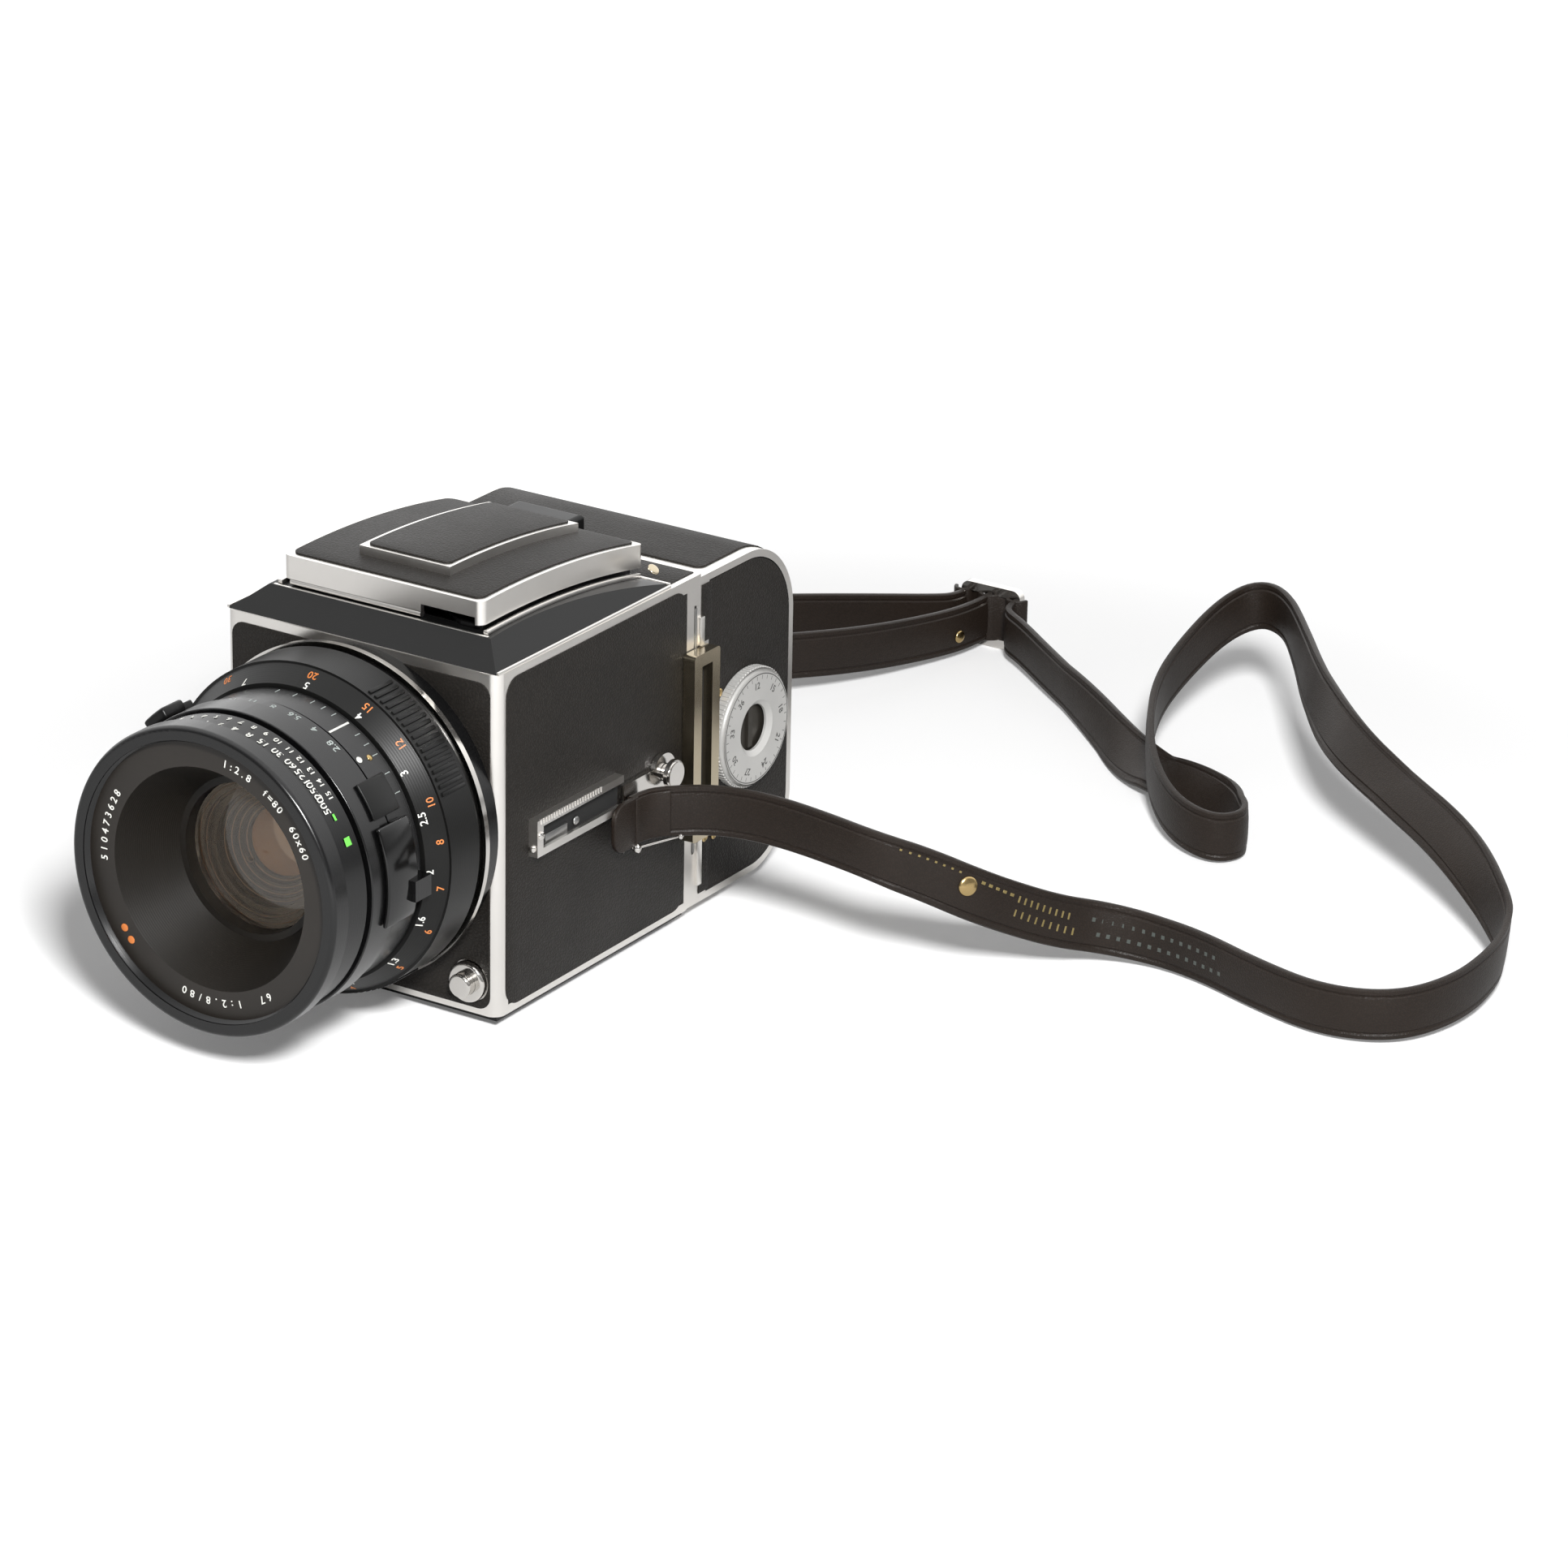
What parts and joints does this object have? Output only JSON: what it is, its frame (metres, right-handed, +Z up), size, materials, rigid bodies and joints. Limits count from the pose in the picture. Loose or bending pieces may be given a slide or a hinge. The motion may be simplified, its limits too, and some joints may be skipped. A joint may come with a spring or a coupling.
{
  "type": "medium format camera",
  "caption": "Box-shaped medium format film camera with large lens, folding waist-level finder, film magazine, winding crank and a flat neck strap lying beside it.",
  "frame": {"origin": "mouth of the tripod socket, in the plane that the tripod plate rests on", "axes": "+Z up, -Y along the lens axis towards the front, +X towards the side with the accessory rail and dark slide"},
  "size_m": [0.2966, 0.3405, 0.1026],
  "materials": {
    "satin_chrome_shell": "satin chrome trim",
    "body_leather": "fine grained leatherette",
    "black_enamel": "stoved black enamel",
    "bright_chrome": "polished chrome",
    "ground_glass": "ground",
    "mirror_silver": "front silvered",
    "steel": "rolled",
    "brass": "cut",
    "black_plastic": "moulded",
    "hood_enamel": "satin enamel and leatherette",
    "clear_glass": "polished",
    "satin_aluminium": "fine blasted",
    "film_base": "film",
    "black_anodised": "black anodised",
    "coated_glass": "amber coated",
    "strap_leather": "dark harness leather"
  },
  "bodies": {
    "camera": {"body_shell": "satin_chrome_shell", "left_leather": "body_leather", "right_leather": "body_leather", "front_leather": "body_leather", "base_plate": "black_enamel", "tripod_plate": "bright_chrome", "tripod_socket": "bright_chrome", "mirror_box": "black_enamel", "lens_mount": "bright_chrome", "accessory_rail": "black_enamel", "strap_lugs": "bright_chrome", "release_collar": "bright_chrome", "finder_base": "black_enamel", "focusing_screen": "ground_glass", "magazine_front": "satin_chrome_shell", "magazine_shell": "satin_chrome_shell", "rear_barrel": "bright_chrome", "strap_long": "strap_leather", "strap_front": "strap_leather", "strap_back": "strap_leather", "strap_buckle": "bright_chrome", "strap_clips": "bright_chrome"},
    "mirror": {"mirror_frame": "black_enamel", "mirror_glass": "mirror_silver"},
    "upper_flap": {"upper_flap": "black_enamel"},
    "lower_flap": {"lower_flap": "black_enamel"},
    "release_button": {"release_button": "bright_chrome"},
    "lens_release_button": {"lens_release_button": "bright_chrome"},
    "winding_crank": {"winding_shaft": "steel", "winding_gear": "brass", "crank_disc": "bright_chrome"},
    "crank_arm": {"crank_arm": "bright_chrome"},
    "crank_knob": {"crank_knob": "black_plastic"},
    "transport_gear": {"transport_gear": "brass"},
    "hood_lid": {"hood_lid": "hood_enamel"},
    "right_wall": {"right_wall": "black_enamel"},
    "left_wall": {"left_wall": "black_enamel"},
    "rear_wall": {"rear_wall": "black_enamel"},
    "magnifier": {"magnifier_arm": "black_enamel", "magnifier_lens": "clear_glass"},
    "dark_slide": {"dark_slide": "steel", "slide_handle": "bright_chrome"},
    "magazine_catch": {"magazine_catch": "black_plastic"},
    "film_insert": {"insert_frame": "steel", "insert_panel": "body_leather", "pressure_plate": "steel", "film": "film_base"},
    "dial_ring": {"dial_ring": "satin_aluminium"},
    "dial_key": {"dial_key": "black_enamel"},
    "supply_spool": {"supply_spool": "black_plastic"},
    "takeup_spool": {"takeup_spool": "black_plastic"},
    "film_crank": {"film_crank": "bright_chrome"},
    "focus_ring": {"focus_ring": "black_anodised"},
    "front_unit": {"front_barrel": "black_anodised", "front_bezel": "black_anodised", "lens_glass": "coated_glass", "iris_blades": "steel"},
    "aperture_ring": {"aperture_ring": "black_anodised"},
    "shutter_ring": {"shutter_ring": "black_anodised"},
    "preview_lever": {"preview_lever": "black_anodised"}
  },
  "joints": [
    {"name": "mirror_lift", "type": "hinge", "parent": "camera", "child": "mirror", "pos_m": [0, 0.033, 0.0805], "axis": [-1, 0, 0], "range_deg": [0, 45]},
    {"name": "upper_flap_swing", "type": "hinge", "parent": "camera", "child": "upper_flap", "pos_m": [0, 0.0358, 0.0775], "axis": [-1, 0, 0], "range_deg": [0, 90]},
    {"name": "lower_flap_swing", "type": "hinge", "parent": "camera", "child": "lower_flap", "pos_m": [0, 0.0358, 0.017], "axis": [1, 0, 0], "range_deg": [0, 90]},
    {"name": "release_press", "type": "slide", "parent": "camera", "child": "release_button", "axis": [0, 1, 0], "range_m": [0, 0.003], "stiffness_N_per_m": 300, "springref_m": -0.003},
    {"name": "lens_release_press", "type": "slide", "parent": "camera", "child": "lens_release_button", "axis": [0, 1, 0], "range_m": [0, 0.002], "stiffness_N_per_m": 300, "springref_m": -0.003},
    {"name": "crank_turn", "type": "hinge", "parent": "camera", "child": "winding_crank", "pos_m": [-0.04, -0.012, 0.045], "axis": [1, 0, 0], "range_deg": [0, 360]},
    {"name": "crank_unfold", "type": "hinge", "parent": "winding_crank", "child": "crank_arm", "pos_m": [-0.04535, -0.0215, 0.045], "axis": [0, 0, 1], "range_deg": [0, 180]},
    {"name": "crank_knob_spin", "type": "hinge", "parent": "crank_arm", "child": "crank_knob", "pos_m": [-0.04535, -0.0056, 0.045], "axis": [1, 0, 0], "continuous": true},
    {"name": "transport_turn", "type": "hinge", "parent": "camera", "child": "transport_gear", "pos_m": [-0.034, 0.014, 0.045], "axis": [1, 0, 0], "range_deg": [-309, 0]},
    {"name": "hood_open", "type": "hinge", "parent": "camera", "child": "hood_lid", "pos_m": [0, -0.03065, 0.0934], "axis": [1, 0, 0], "range_deg": [0, 90]},
    {"name": "right_wall_rise", "type": "hinge", "parent": "camera", "child": "right_wall", "pos_m": [0.026, 0, 0.093], "axis": [0, 1, 0], "range_deg": [0, 90]},
    {"name": "left_wall_rise", "type": "hinge", "parent": "camera", "child": "left_wall", "pos_m": [-0.026, 0, 0.093], "axis": [0, -1, 0], "range_deg": [0, 90]},
    {"name": "rear_wall_rise", "type": "hinge", "parent": "camera", "child": "rear_wall", "pos_m": [0, 0.0295, 0.093], "axis": [-1, 0, 0], "range_deg": [0, 90]},
    {"name": "magnifier_swing", "type": "hinge", "parent": "hood_lid", "child": "magnifier", "pos_m": [0, -0.0075, 0.09545], "axis": [1, 0, 0], "range_deg": [-90, 0]},
    {"name": "dark_slide_pull", "type": "slide", "parent": "camera", "child": "dark_slide", "axis": [1, 0, 0], "range_m": [0, 0.06]},
    {"name": "magazine_catch_push", "type": "slide", "parent": "camera", "child": "magazine_catch", "axis": [1, 0, 0], "range_m": [0, 0.003], "stiffness_N_per_m": 300, "springref_m": -0.003},
    {"name": "insert_pull", "type": "slide", "parent": "camera", "child": "film_insert", "axis": [1, 0, 0], "range_m": [0, 0.06]},
    {"name": "dial_ring_turn", "type": "hinge", "parent": "film_insert", "child": "dial_ring", "pos_m": [0.04, 0.062, 0.0427], "axis": [1, 0, 0], "continuous": true},
    {"name": "dial_key_turn", "type": "hinge", "parent": "film_insert", "child": "dial_key", "pos_m": [0.04, 0.062, 0.0427], "axis": [1, 0, 0], "range_deg": [0, 90]},
    {"name": "supply_spool_turn", "type": "hinge", "parent": "film_insert", "child": "supply_spool", "pos_m": [0, 0.065, 0.0215], "axis": [-1, 0, 0], "continuous": true},
    {"name": "takeup_spool_turn", "type": "hinge", "parent": "film_insert", "child": "takeup_spool", "pos_m": [0, 0.065, 0.0695], "axis": [-1, 0, 0], "continuous": true},
    {"name": "film_crank_turn", "type": "hinge", "parent": "camera", "child": "film_crank", "pos_m": [-0.04, 0.065, 0.0695], "axis": [-1, 0, 0], "continuous": true},
    {"name": "focus_turn", "type": "hinge", "parent": "camera", "child": "focus_ring", "pos_m": [0, -0.055, 0.0481], "axis": [0, 1, 0], "range_deg": [0, 270]},
    {"name": "focus_travel", "type": "slide", "parent": "camera", "child": "front_unit", "axis": [0, -1, 0], "range_m": [0, 0.008]},
    {"name": "aperture_turn", "type": "hinge", "parent": "front_unit", "child": "aperture_ring", "pos_m": [0, -0.08, 0.0481], "axis": [0, 1, 0], "range_deg": [0, 60]},
    {"name": "shutter_turn", "type": "hinge", "parent": "front_unit", "child": "shutter_ring", "pos_m": [0, -0.09, 0.0481], "axis": [0, 1, 0], "range_deg": [0, 100]},
    {"name": "preview_press", "type": "hinge", "parent": "front_unit", "child": "preview_lever", "pos_m": [0, -0.068, 0.0481], "axis": [0, 1, 0], "range_deg": [0, 20]}
  ],
  "couplings": [
    {"joint": "upper_flap_swing", "follows": "mirror_lift", "ratio": 2},
    {"joint": "lower_flap_swing", "follows": "mirror_lift", "ratio": 2},
    {"joint": "transport_turn", "follows": "crank_turn", "ratio": -0.85714},
    {"joint": "right_wall_rise", "follows": "hood_open", "ratio": 1},
    {"joint": "left_wall_rise", "follows": "hood_open", "ratio": 1},
    {"joint": "rear_wall_rise", "follows": "hood_open", "ratio": 1},
    {"joint": "magnifier_swing", "follows": "hood_open", "ratio": -1},
    {"joint": "film_crank_turn", "follows": "takeup_spool_turn", "ratio": 1},
    {"joint": "supply_spool_turn", "follows": "takeup_spool_turn", "ratio": 1},
    {"joint": "focus_travel", "follows": "focus_turn", "m_per_rad": 0.0016976}
  ]
}
